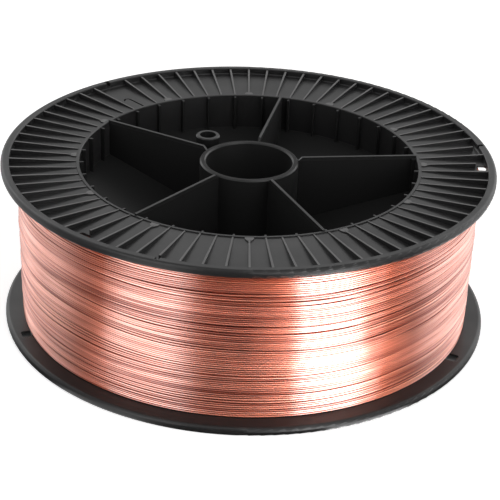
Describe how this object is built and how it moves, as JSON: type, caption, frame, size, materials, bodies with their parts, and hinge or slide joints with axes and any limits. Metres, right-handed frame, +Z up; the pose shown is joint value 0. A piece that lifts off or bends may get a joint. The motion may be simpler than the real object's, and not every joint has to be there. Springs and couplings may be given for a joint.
{
  "type": "spool of welding wire",
  "caption": "Ribbed plastic spool wound full of copper-coated steel welding wire, with a spindle bore, a driving-pin hole and two rims.",
  "frame": {"origin": "on the spool's axis, at the level of the floor under the lower rim", "axes": "+Z up along the spool's axis, +X towards the opening for the wire's outer end in the upper rim"},
  "size_m": [0.295, 0.295, 0.103],
  "materials": {
    "moulded_plastic": "black satin moulded plastic",
    "copper_wire": "bright drawn copper coating on steel wire"
  },
  "bodies": {
    "root": {"spool": "moulded_plastic", "wire_coil": "copper_wire"}
  },
  "joints": []
}
